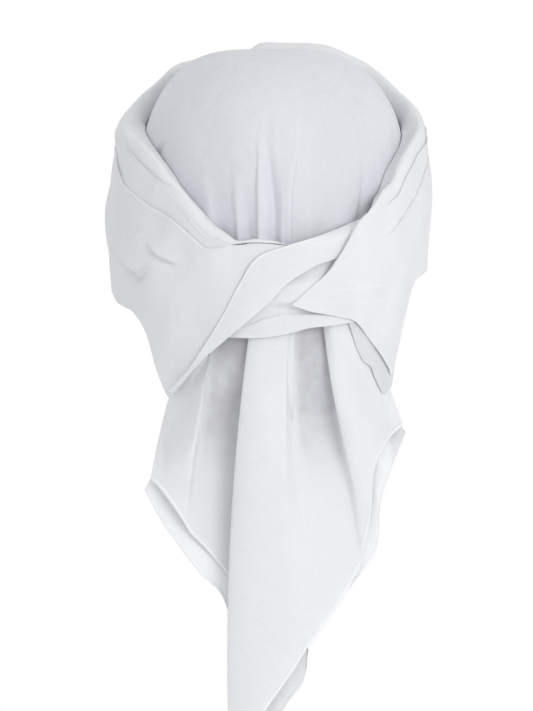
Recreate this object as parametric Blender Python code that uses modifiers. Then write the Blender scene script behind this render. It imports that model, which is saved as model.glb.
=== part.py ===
"""A pre-tied head wrap of thin white cotton, as it sits on a head.

Metres, +Z up. The wearer faces +Y, so the crossing and the tail are at -Y and the wearer's right is +X.
The origin is the middle of the head opening, level with the brow.
Heights above the brow are shares of CROWN_HEIGHT, and heights below it are shares of CORNER_DROP.
Angles go round the head from the middle of the back: 90 is an ear, 180 is the middle of the forehead.
"""

import bmesh
import bpy
import numpy as np

# Driving sizes
CROWN_WIDTH = 0.164
CROWN_LENGTH = 0.196
CROWN_HEIGHT = 0.106
CORNER_DROP = 0.108
TAIL_DROP = 0.329
BACK_LAYER_EXTRA = 0.011
TAIL_HALF_WIDTH = 0.082
FOLD_DEPTH = 0.015
LEFT_PADDING = 0.019
RIGHT_PADDING = 0.016
FRONT_PADDING = 0.012
ROLL_RISE = 0.0075
PLEAT_STEP = 0.0024
BAND_FOLD_DEPTH = 0.0012
GATHER_DEPTH = 0.0034
CLOTH = 0.0011
GAP = 0.0005

# Sizes that follow
HALF_WIDTH = CROWN_WIDTH / 2
HALF_LENGTH = CROWN_LENGTH / 2
LAYER = CLOTH + GAP

# How square the dome is: a plain round is 2
DOME_AT_BACK = 2.6
DOME_AT_FRONT = 5.0
# The share of the crown's height up to which the wraps' outer wall stands straight
WALL_TOP = 0.38
# How much narrower the form is at the hanging corners than at the brow
NECK_TAPER = 0.13
NECK_CURVE = 1.6
# The share of the crown's height up to which a wrap's rim leans on the dome
RIM_FOLLOWS_DOME_TO = 0.90

# Layers of cloth between the crown and each piece's middle, where all cross at the back
TAIL_BACK_LAYER = 1.0
TAIL_FRONT_LAYER = 2.2
UNDER_SASH_LAYER = 7.5
UNDER_SASH_RISE = 2.4
LEFT_WRAP_LAYER = 8.7
SASH_LAYER = 9.9
RIGHT_WRAP_LAYER = 11.6
# Layers from the crown's face to the middle of what lies on it, to the tucked hems, and from one wrap to the
# other at the front; then how far inside or outside its neighbour each other piece lies
RIM_LAYER = 0.72
TUCKED_LAYERS = 5.0
FRONT_CROSSING_LAYERS = 2.8
CORNER_INSIDE_LAYERS = 1.25
RIGHT_RIM_LOOSE_LAYERS = 1.5
SASH_ON_CROWN_LAYERS = 1.2
TAIL_INSIDE_LAYERS = 3.0

# Stretches over which something grows from nothing to full: the angle where it starts and where it is full
PADDING_GROWS = (18, 63)
PLEATS_GROW = (20, 40)
SASH_PLEAT_GROWS = (15, 35)
LEFT_RIM_LIFTS = (14, 4)
LEFT_TURNS_TO_FRONT = (100, 150)
RIGHT_RIM_LIFTS = (52, 34)
RIGHT_RIM_LOOSENS = (66, 82)
RIGHT_TURNS_TO_FRONT = (100, 140)
RIGHT_PASSES_OVER = (115, 143)
RIGHT_END_UNTUCKS = (165, 180)
HEM_TUCKS_IN = (85, 115)
# The same as shares: of the head's half width for places across, and of CORNER_DROP for the height
TAIL_GOES_OUTWARD = (0.3, 0.65)
UNDER_SASH_RISES = (0.2, 0.5)
UNDER_SASH_RISES_BELOW = (-0.38, -0.52)
# How much of the outward step the innermost layer of the tail takes, and how much more each further layer does
OUTWARD_INNERMOST = 0.45
OUTWARD_EACH_LAYER = 0.1
# How many times its roll's rise a wrap must be wide before it has pleats, and when it has them in full
PLEATED_FROM_WIDTH = (1.8, 7.8)
# How far the top of a wrap's roll leans in over the crown: 1 is halfway out
ROLL_LEANS_IN = 0.8
BAND_FOLDS = 3
# How much finer the crown's cloth is divided at the back than at the front, in degrees
CROWN_FINER_AT_BACK = 28.0
# The share of the sash's width that rounds over where it leans on the crown, and the stations where it does
SASH_ROUNDED = 0.45
SASH_LEAVES_CROWN = (2.6, 1.0)

# Where the crown's hidden edge runs: angle, height
CROWN_EDGE = (
    (0, -0.44),
    (40, -0.20),
    (90, -0.08),
    (140, 0.12),
    (180, 0.20),
)

# The part of the crown's radius over which its smooth top gives way to the gathers
SMOOTH_TOP = (0.12, 0.52)
# How high the gathers' ridges are, as a share of how deep their grooves are
RIDGE_SHARE = 0.35

# The front band: angle, top, bottom
FRONT_BAND = (
    (118, 0.42, 0.02),
    (140, 0.50, -0.01),
    (180, 0.60, 0.00),
    (220, 0.50, -0.01),
    (242, 0.42, 0.02),
)

# Each wrap: angle, rim, upper pleat, main pleat, hem. The corner is the lowest hem.
LEFT_WRAP = (
    (-20, -0.13, -0.155, -0.18, -0.21),
    (-8, -0.14, -0.17, -0.21, -0.34),
    (5, -0.145, -0.18, -0.24, -0.47),
    (15, -0.139, -0.17, -0.22, -0.59),
    (23, -0.03, -0.08, -0.18, -0.70),
    (31, 0.075, 0.03, -0.08, -0.83),
    (38, 0.142, 0.13, 0.00, -0.93),
    (46, 0.25, 0.24, 0.06, -1.00),
    (52, 0.32, 0.31, 0.11, -0.86),
    (60, 0.39, 0.37, 0.18, -0.65),
    (67, 0.44, 0.42, 0.25, -0.56),
    (75, 0.49, 0.46, 0.33, -0.50),
    (90, 0.55, 0.52, 0.42, -0.45),
    (110, 0.65, 0.60, 0.48, -0.20),
    (125, 0.77, 0.69, 0.55, 0.06),
    (133, 0.85, 0.75, 0.61, 0.16),
    (150, 0.935, 0.82, 0.70, 0.36),
    (180, 0.98, 0.88, 0.78, 0.62),
    (203, 0.89, 0.84, 0.80, 0.74),
    (215, 0.83, 0.81, 0.79, 0.76),
)
RIGHT_WRAP = (
    (8, -0.455, -0.475, -0.495, -0.52),
    (14, -0.40, -0.42, -0.46, -0.53),
    (20, -0.30, -0.34, -0.41, -0.54),
    (25, -0.20, -0.26, -0.37, -0.545),
    (33, 0.00, -0.08, -0.27, -0.55),
    (40, 0.075, 0.03, -0.17, -0.60),
    (47, 0.11, 0.09, -0.08, -0.72),
    (53, 0.15, 0.16, 0.00, -0.86),
    (58, 0.26, 0.25, 0.06, -0.87),
    (64, 0.33, 0.32, 0.14, -0.68),
    (72, 0.405, 0.39, 0.25, -0.47),
    (85, 0.50, 0.47, 0.37, -0.39),
    (100, 0.58, 0.54, 0.44, -0.28),
    (118, 0.69, 0.63, 0.52, -0.07),
    (132, 0.80, 0.71, 0.60, 0.11),
    (155, 0.97, 0.85, 0.73, 0.42),
    (180, 1.02, 0.92, 0.82, 0.65),
    (200, 1.005, 0.96, 0.92, 0.84),
    (212, 0.98, 0.96, 0.94, 0.92),
)

# A wrap's rows: the edge that a row is counted from (0 rim, 1 upper pleat, 2 main pleat, 3 hem) plus the share
# of the way to the next edge, and how many pleat steps out it lies
WRAP_ROWS = (
    (0.00, 0.0),
    (0.12, 0.1),
    (0.36, 0.3),
    (0.66, 0.6),
    (1.00, 0.7),
    (1.14, 0.0),
    (1.55, 0.0),
    (2.00, 0.0),
    (2.05, 1.0),
    (2.30, 1.0),
    (2.66, 1.0),
    (3.00, 1.0),
)

# The right corner's inner layer: angle, top, bottom
RIGHT_CORNER = (
    (33, -0.50, -0.74),
    (41, -0.50, -0.82),
    (46, -0.55, -0.88),
    (50, -0.60, -0.96),
    (52, -0.62, -0.985),
    (55, -0.66, -0.95),
    (57.5, -0.70, -0.85),
)

# The sash that crosses over, from the right wrap to the left corner: upper edge's place across the head and
# height, then the lower edge's
CROSS_SASH = (
    (0.712, 0.026, 0.607, -0.167),
    (0.638, -0.002, 0.517, -0.213),
    (0.367, -0.088, 0.427, -0.236),
    (0.128, -0.144, 0.315, -0.269),
    (-0.105, -0.213, 0.134, -0.356),
    (-0.232, -0.356, -0.007, -0.463),
    (-0.354, -0.531, -0.159, -0.565),
    (-0.495, -0.708, -0.338, -0.680),
    (-0.622, -0.852, -0.517, -0.799),
    (-0.772, -0.976, -0.744, -0.987),
)

# The sash that crosses under, left to right: place across the head, top, bottom
UNDER_SASH = (
    (-0.36, -0.56, -0.665),
    (-0.105, -0.49, -0.67),
    (0.11, -0.36, -0.65),
    (0.28, -0.25, -0.615),
    (0.46, -0.24, -0.60),
    (0.62, -0.50, -0.58),
)

# The tail's front layer, left to right along the cloth. Each line of cloth goes from under the crossing to its
# hem: place across the tail at the top, halfway and hem, the hem's share of the drop, then how far it stands out
# at the top (in layers), halfway and hem (shares of FOLD_DEPTH)
TAIL_FRONT = (
    # top, half, hem, drop, layers out at top, out halfway, out at hem
    (-0.42, -0.74, -0.90, 0.485, 0.0, 0.05, 0.10),
    (-0.38, -0.67, -0.85, 0.495, 0.0, 0.42, 0.35),
    (-0.34, -0.60, -0.77, 0.520, 0.0, 0.70, 0.55),
    (-0.29, -0.52, -0.66, 0.560, 0.0, 0.62, 0.42),
    (-0.24, -0.44, -0.55, 0.590, 0.0, 0.10, 0.20),
    (-0.16, -0.34, -0.43, 0.620, 0.0, -0.10, 0.10),
    (-0.02, -0.10, -0.20, 0.690, 0.0, -0.05, 0.08),
    (0.10, 0.09, 0.03, 0.755, 0.0, 0.00, 0.12),
    (0.17, 0.15, 0.09, 0.790, 1.0, 0.22, 0.28),
    (0.10, 0.04, -0.03, 0.860, 1.9, 0.50, 0.44),
    (-0.07, -0.18, -0.22, 0.970, 1.9, 0.54, 0.48),
    (-0.14, -0.30, -0.31, 1.000, 2.9, 0.80, 0.64),
    (-0.07, -0.22, -0.21, 0.970, 3.9, 1.06, 0.80),
    (0.02, -0.07, -0.02, 0.905, 3.9, 1.16, 0.88),
    (0.11, 0.09, 0.23, 0.820, 3.8, 1.04, 0.88),
    (0.19, 0.19, 0.38, 0.765, 2.0, 0.42, 0.76),
    (0.25, 0.27, 0.50, 0.725, 0.0, 0.05, 0.62),
    (0.32, 0.42, 0.60, 0.680, 0.0, -0.08, 0.38),
    (0.39, 0.55, 0.68, 0.640, 0.0, 0.00, 0.32),
    (0.43, 0.56, 0.70, 0.610, 1.0, 0.34, 0.48),
    (0.38, 0.49, 0.72, 0.570, 2.1, 0.66, 0.60),
    (0.43, 0.55, 0.75, 0.530, 3.1, 0.92, 0.68),
    (0.49, 0.66, 0.80, 0.470, 2.0, 0.88, 0.62),
    (0.54, 0.76, 0.90, 0.420, 1.2, 0.70, 0.48),
    (0.58, 0.82, 1.00, 0.385, 0.8, 0.40, 0.28),
)

# The tail's back layer, a plainer sheet behind the front one: the same, with one depth for the whole length
TAIL_BACK = (
    # top, half, hem, drop, out
    (-0.38, -0.62, -0.92, 0.500, -0.62),
    (-0.32, -0.52, -0.80, 0.570, -0.60),
    (-0.22, -0.38, -0.55, 0.660, -0.62),
    (-0.10, -0.22, -0.32, 0.740, -0.66),
    (0.05, -0.04, -0.20, 0.900, -0.66),
    (0.18, 0.10, -0.14, 1.000, -0.64),
    (0.27, 0.24, 0.12, 0.905, -0.62),
    (0.34, 0.38, 0.27, 0.830, -0.60),
    (0.42, 0.50, 0.56, 0.700, -0.58),
    (0.50, 0.62, 0.80, 0.600, -0.56),
    (0.55, 0.70, 0.84, 0.500, -0.54),
    (0.59, 0.76, 1.02, 0.385, -0.54),
)
TAIL_TOP = -0.52
# The edge below which the tail hangs free of what holds it: place across the head, height
TAIL_FREE_BELOW = (
    (-0.80, -1.06),
    (-0.62, -0.95),
    (-0.45, -0.76),
    (-0.30, -0.70),
    (0.10, -0.70),
    (0.40, -0.66),
    (0.58, -0.76),
    (0.70, -0.90),
    (0.90, -1.06),
)
TAIL_RELEASE = 0.045
ROWS_CLOSER_AT_TOP = 1.25
# Where the hanging tail's flat parts are, as a share of the crown's half length, and how much its sides curve
# forward
TAIL_STANDS_AT = 0.985
TAIL_CURVE = 0.17
# The stretch of the tail's length over which its folds change to their form at the hem
LOWER_FOLDS = (0.38, 1.0)
# How much nearer the two layers are at their tips, as a share of FOLD_DEPTH
TIPS_CLOSE_BY = 0.40
# How far round the head's side each layer may go, 1 being the ear
FRONT_SWEEP = 0.87
BACK_SWEEP = 0.92

# The crown's gathers rise from this height above the crossing: angle at the foot, width in degrees, reach up
# the crown, strength
GATHERS_FOOT = -0.3
GATHERS = (
    (-8.5, 3.2, 0.45, 0.8),
    (-2.5, 3.4, 0.95, 1.0),
    (6.0, 4.0, 0.95, 1.1),
    (12.5, 3.0, 0.55, -0.7),
    (-15.0, 4.0, 0.40, -0.8),
    (44.0, 3.6, 0.45, -0.9),
    (-60.0, 3.8, 0.20, -0.8),
)


# Curves and heights


def ease(x):
    """0 before 0, 1 after 1, and a smooth rise between."""
    x = np.clip(x, 0.0, 1.0)
    return x * x * (3.0 - 2.0 * x)


def between(x, limits):
    """0 before the first limit, 1 past the second, and a smooth rise between."""
    start, full = limits
    return ease((x - start) / (full - start))


def through(x, knots, values):
    """A smooth curve through a table's points, flat past its ends."""
    knots = np.asarray(knots, float)
    values = np.asarray(values, float)
    x = np.clip(x, knots[0], knots[-1])
    left = np.clip(np.searchsorted(knots, x, side="right") - 1, 0, len(knots) - 2)
    slopes = np.gradient(values, knots)
    width = knots[left + 1] - knots[left]
    t = (x - knots[left]) / width
    start = values[left] * (1 + 2 * t) * (1 - t) ** 2 + slopes[left] * width * t * (1 - t) ** 2
    end = values[left + 1] * (3 - 2 * t) * t**2 + slopes[left + 1] * width * t**2 * (t - 1)
    return start + end


def level(share):
    """The height of a share: above the brow of the crown's height, below it of the corners' drop."""
    return np.where(share > 0, share * CROWN_HEIGHT, share * CORNER_DROP)


def columns_of(table):
    return np.array(table, float).T


# The form that everything is wound on


def form_scale(angle, height):
    """How wide the form is at a height, as a share of its width at the brow."""
    front = ease(-np.cos(np.radians(angle)))
    power = DOME_AT_BACK + (DOME_AT_FRONT - DOME_AT_BACK) * front
    up = np.clip(height / CROWN_HEIGHT, 0.0, 1.0)
    dome = (1.0 - up**power) ** (1.0 / power)
    down = np.clip(-height / CORNER_DROP, 0.0, None)
    return np.where(height > 0, dome, 1.0 - NECK_TAPER * down**NECK_CURVE)


def on_form(angle, height, lift, scale):
    """Points at an angle and height, a lift outside the form of that scale."""
    turn = np.radians(angle)
    x = (HALF_WIDTH * scale + lift) * np.sin(turn)
    y = -(HALF_LENGTH * scale + lift) * np.cos(turn)
    return np.stack([x, y, height], axis=-1)


def on_wall(angle, height, lift):
    """The same, on a form that stands straight above WALL_TOP as the wraps do."""
    scale = form_scale(angle * 0, np.minimum(height, WALL_TOP * CROWN_HEIGHT))
    return on_form(angle, height, lift, scale)


def angle_across(x, height, lift):
    """The angle at which the back of the wall has this place across the head."""
    scale = form_scale(x * 0, np.minimum(height, WALL_TOP * CROWN_HEIGHT))
    return np.degrees(np.arcsin(np.clip(x / (HALF_WIDTH * scale + lift), -1.0, 1.0)))


# Pieces


def gather_relief(angle, height):
    """The crown's upright gathers: ridges and grooves that fade as they rise."""
    relief = np.zeros_like(angle)
    for foot, width, reach, strength in GATHERS:
        rise = (height - level(GATHERS_FOOT)) / (CROWN_HEIGHT - level(GATHERS_FOOT))
        fade = 1.0 - ease(rise / reach)
        relief += strength * fade * np.exp(-(((angle - foot) / (width * (1 + rise))) ** 2))
    return GATHER_DEPTH * relief


def crown_surface(across, down):
    """The crown cloth: a square sheet whose middle is the top of the head, with its edge hidden by the wraps."""
    u = 2 * across - 1
    v = 2 * down - 1
    disc_x = u * np.sqrt(1 - v * v / 2)
    disc_y = v * np.sqrt(1 - u * u / 2)
    radius = np.hypot(disc_x, disc_y)
    angle = np.degrees(np.arctan2(disc_x, disc_y))
    angle = angle - CROWN_FINER_AT_BACK * np.sin(np.radians(angle))
    edge = level(through(np.abs(angle), *columns_of(CROWN_EDGE)))

    power = DOME_AT_BACK + (DOME_AT_FRONT - DOME_AT_BACK) * ease(-np.cos(np.radians(angle)))
    edge_up = np.clip(edge / CROWN_HEIGHT, 0.0, 1.0)
    edge_out = (1.0 - edge_up**power) ** (1.0 / power)
    last = np.degrees(np.arctan2(edge_out, edge_up)) / 90.0 + np.clip(-edge / CORNER_DROP, 0.0, None)
    turn = radius * last
    tilt = np.radians(90.0 * np.minimum(turn, 1.0))
    size = (np.abs(np.cos(tilt)) ** power + np.abs(np.sin(tilt)) ** power) ** (1.0 / power)
    height = np.where(turn <= 1.0, CROWN_HEIGHT * np.cos(tilt) / size, -(turn - 1.0) * CORNER_DROP)
    scale = np.where(turn <= 1.0, np.sin(tilt) / size, form_scale(angle, height))
    relief = gather_relief(angle, height) * between(radius, SMOOTH_TOP)
    relief = np.where(relief < 0, relief, relief * RIDGE_SHARE)
    return on_form(angle, height, relief - CLOTH / 2, scale)


def band_surface(across, down):
    angles, tops, bottoms = columns_of(FRONT_BAND)
    angle = angles[0] + (angles[-1] - angles[0]) * across
    top = level(through(angle, angles, tops))
    bottom = level(through(angle, angles, bottoms))
    height = top + (bottom - top) * down
    lift = RIM_LAYER * LAYER + BAND_FOLD_DEPTH * np.sin(down * BAND_FOLDS * np.pi) ** 2
    return on_form(angle, height, lift, form_scale(angle, height))


def wall_lift(angle, padding, crossing_layer):
    """How far a wrap's wall stands off the form: flat at the crossing, full at the sides."""
    crossing = crossing_layer * LAYER
    return crossing + (padding - crossing) * between(np.abs(angle), PADDING_GROWS)


def wrap_surface(across, down, table, side, wall, edge, hem_lift):
    """A wrap from its end at the crossing, round one side and past the middle of the forehead.

    Its rim lies on the dome at the lift that edge gives for an angle. From there it rolls up and over to a
    straight wall at the lift that wall gives, steps in at the upper pleat and out at the main one, and hem_lift
    gives how far in its hem is tucked at the side and front.
    """
    angles, *edges = columns_of(table)
    angle = np.interp(across * (len(angles) - 1), np.arange(len(angles)), angles)
    edges = np.array([level(through(angle, angles, edge_heights)) for edge_heights in edges])
    rim, upper, main, hem = edges
    wide = between((rim - hem) / ROLL_RISE, PLEATED_FROM_WIDTH)

    places, steps = columns_of(WRAP_ROWS)
    row = np.rint(down * (len(places) - 1)).astype(int)
    place = places[row]
    first = np.minimum(place.astype(int), 2)
    point = np.arange(len(angle))
    height = edges[first, point] + (edges[first + 1, point] - edges[first, point]) * (place - first)
    on_roll = np.minimum(place, 1.0)
    rise = ROLL_RISE * np.clip((wall(angle) - edge(angle)) / FRONT_PADDING, 0.0, 1.0)
    height = height + rise * np.sin(np.pi * on_roll**ROLL_LEANS_IN)

    roll = np.sqrt(1.0 - (1.0 - on_roll) ** 2)
    straight = form_scale(angle * 0, np.minimum(height, WALL_TOP * CROWN_HEIGHT))
    dome = form_scale(angle, np.minimum(rim, RIM_FOLLOWS_DOME_TO * CROWN_HEIGHT))
    scale = dome + (straight - dome) * roll
    lift = edge(angle) + (wall(angle) - edge(angle)) * roll
    lift = lift + PLEAT_STEP * steps[row] * between(angle, PLEATS_GROW) * wide
    tucked = between(angle, HEM_TUCKS_IN) * ease(place - 2.0) * wide
    lift = lift + (np.minimum(hem_lift(angle), lift) - lift) * tucked
    return on_form(side * angle, height, lift, scale)


def left_wall(angle):
    wall = wall_lift(angle, LEFT_PADDING, LEFT_WRAP_LAYER)
    return wall + (FRONT_PADDING - wall) * between(angle, LEFT_TURNS_TO_FRONT)


def left_edge(angle):
    """The left rim lies on the crown, and where it passes under the sash it is on the layers there."""
    return LAYER * (RIM_LAYER + (LEFT_WRAP_LAYER - RIM_LAYER) * between(angle, LEFT_RIM_LIFTS))


def left_hem(angle):
    return angle * 0 + TUCKED_LAYERS * LAYER


def left_wrap_surface(across, down):
    return wrap_surface(across, down, LEFT_WRAP, -1.0, left_wall, left_edge, left_hem)


def over_left_wrap(angle):
    """How much further out the right wrap lies where it passes over the left one at the front."""
    return FRONT_CROSSING_LAYERS * LAYER * between(angle, RIGHT_PASSES_OVER)


def right_wall(angle):
    wall = wall_lift(angle, RIGHT_PADDING, RIGHT_WRAP_LAYER)
    front = FRONT_PADDING + PLEAT_STEP + over_left_wrap(angle)
    return wall + (front - wall) * between(angle, RIGHT_TURNS_TO_FRONT)


def right_edge(angle):
    """The right rim lies over the sash near the crossing, and a little loose on the crown further round."""
    loose = RIM_LAYER + RIGHT_RIM_LOOSE_LAYERS * between(angle, RIGHT_RIM_LOOSENS)
    layers = loose + (RIGHT_WRAP_LAYER - loose) * between(angle, RIGHT_RIM_LIFTS)
    return LAYER * layers + over_left_wrap(angle)


def right_hem(angle):
    over = over_left_wrap(angle) + PLEAT_STEP * between(angle, RIGHT_PASSES_OVER)
    return TUCKED_LAYERS * LAYER + over + FRONT_PADDING * between(angle, RIGHT_END_UNTUCKS)


def right_wrap_surface(across, down):
    return wrap_surface(across, down, RIGHT_WRAP, 1.0, right_wall, right_edge, right_hem)


def corner_surface(across, down):
    """The inner layer of the right corner, one layer inside the right wrap."""
    angles, tops, bottoms = columns_of(RIGHT_CORNER)
    angle = np.interp(across * (len(angles) - 1), np.arange(len(angles)), angles)
    top = level(np.interp(angle, angles, tops))
    bottom = level(np.interp(angle, angles, bottoms))
    height = top + (bottom - top) * down
    wall = wall_lift(angle, RIGHT_PADDING, RIGHT_WRAP_LAYER)
    pleat = PLEAT_STEP * between(angle, PLEATS_GROW)
    return on_wall(angle, height, wall + pleat - CORNER_INSIDE_LAYERS * LAYER)


def sash_surface(across, down):
    """The over sash: across runs along it from the right wrap to the left corner, down from edge to edge."""
    upper_x, upper_z, lower_x, lower_z = columns_of(CROSS_SASH)
    station = across * (len(upper_x) - 1)
    at = np.arange(len(upper_x))
    x = through(station, at, upper_x) * (1 - down) + through(station, at, lower_x) * down
    share = through(station, at, upper_z) * (1 - down) + through(station, at, lower_z) * down
    height = level(share)
    x = x * HALF_WIDTH
    base = (SASH_LAYER - LEFT_WRAP_LAYER) * LAYER
    left_of_middle = -angle_across(x, height, LEFT_PADDING)
    lift = wall_lift(np.maximum(left_of_middle, 0.0), LEFT_PADDING, LEFT_WRAP_LAYER) + base
    lift = lift + PLEAT_STEP * between(left_of_middle, SASH_PLEAT_GROWS)
    on_crown = between(station, SASH_LEAVES_CROWN)
    edge = np.clip(down / SASH_ROUNDED, 0.0, 1.0)
    roll = np.sqrt(1.0 - (1.0 - edge) ** 2)
    lift = lift - on_crown * (lift - SASH_ON_CROWN_LAYERS * LAYER) * (1.0 - roll)
    return on_wall(angle_across(x, height, lift), height, lift)


def under_sash_surface(across, down):
    places, tops, bottoms = columns_of(UNDER_SASH)
    station = across * (len(places) - 1)
    at = np.arange(len(places))
    x = through(station, at, places) * HALF_WIDTH
    share = through(station, at, tops) * (1 - down) + through(station, at, bottoms) * down
    height = level(share)
    rise = between(x / HALF_WIDTH, UNDER_SASH_RISES) * between(height / CORNER_DROP, UNDER_SASH_RISES_BELOW)
    lift = (UNDER_SASH_LAYER + UNDER_SASH_RISE * rise) * LAYER
    return on_wall(angle_across(x, height, lift), height, lift)


def hanging_lines(across, table):
    """Every column of a tail table, read smoothly at a place along the cloth."""
    station = across * (len(table) - 1)
    at = np.arange(len(table))
    return [through(station, at, column) for column in columns_of(table)]


def halfway_curve(down, top, half, hem):
    """The smooth curve through a value at the top, halfway and hem."""
    return top * (1 - down) * (1 - 2 * down) + half * 4 * down * (1 - down) + hem * down * (2 * down - 1)


def tail_point(x, height, out, layers, sweep):
    """A tail point: wound on the form under the crossing, and hanging by itself below the edge it comes out of.

    sweep says how far round the form's side the sheet may go.
    """
    free_edge = level(through(x / HALF_WIDTH, *columns_of(TAIL_FREE_BELOW)))
    free = ease((free_edge - height) / TAIL_RELEASE)
    share = np.minimum(OUTWARD_INNERMOST + OUTWARD_EACH_LAYER * layers, 1.0)
    outward = share * between(np.abs(x) / HALF_WIDTH, TAIL_GOES_OUTWARD)
    lift = layers * LAYER + (RIGHT_PADDING - TAIL_INSIDE_LAYERS * LAYER) * outward
    scale = form_scale(x * 0, np.maximum(height, free_edge))
    bend = np.sqrt(1.0 - np.clip(x / (HALF_WIDTH * scale + lift), -sweep, sweep) ** 2)
    wound = -(HALF_LENGTH * scale + lift) * bend
    flat = -(HALF_LENGTH * TAIL_STANDS_AT) * (1 - TAIL_CURVE * (x / TAIL_HALF_WIDTH) ** 2)
    hanging = flat - out * FOLD_DEPTH
    y = wound + (hanging - wound) * free
    return np.stack([x, y, height], axis=-1)


def tail_front_surface(across, down):
    down = down**ROWS_CLOSER_AT_TOP
    top, half, hem, drop, layers, half_out, hem_out = hanging_lines(across, TAIL_FRONT)
    x = halfway_curve(down, top, half, hem) * TAIL_HALF_WIDTH
    height = level(TAIL_TOP) * (1 - down) - drop * TAIL_DROP * down
    out = half_out + (hem_out - half_out) * between(down, LOWER_FOLDS)
    return tail_point(x, height, out, TAIL_FRONT_LAYER + layers, FRONT_SWEEP)


def tail_back_surface(across, down):
    down = down**ROWS_CLOSER_AT_TOP
    top, half, hem, drop, out = hanging_lines(across, TAIL_BACK)
    x = halfway_curve(down, top, half, hem) * TAIL_HALF_WIDTH
    height = level(TAIL_TOP) * (1 - down) - drop * (TAIL_DROP + BACK_LAYER_EXTRA) * down
    out = out + TIPS_CLOSE_BY * between(down, LOWER_FOLDS)
    return tail_point(x, height, out, TAIL_BACK_LAYER + across * 0, BACK_SWEEP)


# Building


def cotton(name, colour):
    material = bpy.data.materials.new(name)
    material.use_nodes = True
    shader = material.node_tree.nodes["Principled BSDF"]
    shader.inputs["Base Color"].default_value = (*colour, 1.0)
    shader.inputs["Roughness"].default_value = 0.85
    shader.inputs["Metallic"].default_value = 0.0
    return material


def cloth_piece(name, surface, columns, rows, collection, colour):
    """A sheet of cloth: a flat grid laid onto a surface, then given its wall."""
    grid = bmesh.new()
    bmesh.ops.create_grid(grid, x_segments=columns, y_segments=rows, size=1.0)
    mesh = bpy.data.meshes.new(name)
    grid.to_mesh(mesh)
    grid.free()
    flat = np.empty(len(mesh.vertices) * 3)
    mesh.vertices.foreach_get("co", flat)
    flat = flat.reshape(-1, 3)
    low = flat.min(axis=0)
    size = flat.max(axis=0) - low
    across = (flat[:, 0] - low[0]) / size[0]
    down = 1.0 - (flat[:, 1] - low[1]) / size[1]
    mesh.vertices.foreach_set("co", surface(across, down).ravel())
    mesh.materials.append(cotton(name + "_cotton", colour))
    mesh.shade_smooth()
    mesh.update()
    piece = bpy.data.objects.new(name, mesh)
    collection.objects.link(piece)
    wall = piece.modifiers.new("Wall", "SOLIDIFY")
    wall.thickness = CLOTH
    wall.offset = 0.0
    return piece


def build_wrap():
    for old in list(bpy.data.objects):
        bpy.data.objects.remove(old)
    wrap = bpy.data.collections.new("Pre_tied_head_wrap")
    bpy.context.scene.collection.children.link(wrap)
    cloth_piece("crown", crown_surface, 28, 22, wrap, (0.80, 0.81, 0.84))
    cloth_piece("front_band", band_surface, 22, 5, wrap, (0.80, 0.80, 0.82))
    cloth_piece("left_wrap", left_wrap_surface, 38, len(WRAP_ROWS) - 1, wrap, (0.78, 0.78, 0.80))
    cloth_piece("right_wrap", right_wrap_surface, 38, len(WRAP_ROWS) - 1, wrap, (0.82, 0.82, 0.84))
    cloth_piece("right_corner", corner_surface, 10, 4, wrap, (0.76, 0.76, 0.79))
    cloth_piece("cross_sash", sash_surface, 24, 5, wrap, (0.84, 0.84, 0.86))
    cloth_piece("under_sash", under_sash_surface, 14, 4, wrap, (0.80, 0.80, 0.82))
    cloth_piece("tail_front", tail_front_surface, 72, 9, wrap, (0.86, 0.86, 0.88))
    cloth_piece("tail_back", tail_back_surface, 22, 9, wrap, (0.76, 0.76, 0.80))


build_wrap()
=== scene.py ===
# %% [markdown]
# # A pre-tied head wrap
#
# The real thing is one large square of thin white cotton. A maker lays it over the head, winds it round and
# ties it at the back, and then stitches it so that it goes on like a hat. A cloth simulation could wind it,
# but it would be hard to steer where each pleat ends. So every layer here is a surface worked out by a
# formula from a few named sizes, the way a pattern cutter would note them, and each is as thin as folded
# cotton.

import bpy
import numpy as np
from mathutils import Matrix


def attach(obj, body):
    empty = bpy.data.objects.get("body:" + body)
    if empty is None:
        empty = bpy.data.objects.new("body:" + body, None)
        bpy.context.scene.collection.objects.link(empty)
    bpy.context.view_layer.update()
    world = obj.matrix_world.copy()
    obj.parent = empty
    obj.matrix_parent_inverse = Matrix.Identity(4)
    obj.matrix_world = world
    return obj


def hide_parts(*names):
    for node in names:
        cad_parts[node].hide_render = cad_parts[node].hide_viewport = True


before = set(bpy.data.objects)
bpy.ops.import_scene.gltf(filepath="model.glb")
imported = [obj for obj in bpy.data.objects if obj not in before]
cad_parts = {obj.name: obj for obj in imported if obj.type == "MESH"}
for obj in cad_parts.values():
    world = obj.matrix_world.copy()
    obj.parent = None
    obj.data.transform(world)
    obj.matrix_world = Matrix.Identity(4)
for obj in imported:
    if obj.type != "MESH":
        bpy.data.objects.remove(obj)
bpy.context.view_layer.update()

# %% [markdown]
# ## The sizes
#
# Everything hangs on the head's size: how wide, long and high the crown is, and how far the corners and the
# tail fall below the brow. The wraps are padded with rolled cloth, so each stands off the crown by its
# padding.

# %% Sizes in metres
CROWN_WIDTH = 0.164
CROWN_LENGTH = 0.196
CROWN_HEIGHT = 0.106
CORNER_DROP = 0.108
TAIL_DROP = 0.329
BACK_LAYER_EXTRA = 0.011
TAIL_HALF_WIDTH = 0.082
FOLD_DEPTH = 0.015
LEFT_PADDING = 0.019
RIGHT_PADDING = 0.016
FRONT_PADDING = 0.012
ROLL_RISE = 0.0075
DEEPER_INSIDE = 0.007
PLEAT_STEP = 0.0024
LAYER = 0.0016
HALF_WIDTH = CROWN_WIDTH / 2
HALF_LENGTH = CROWN_LENGTH / 2

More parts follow.
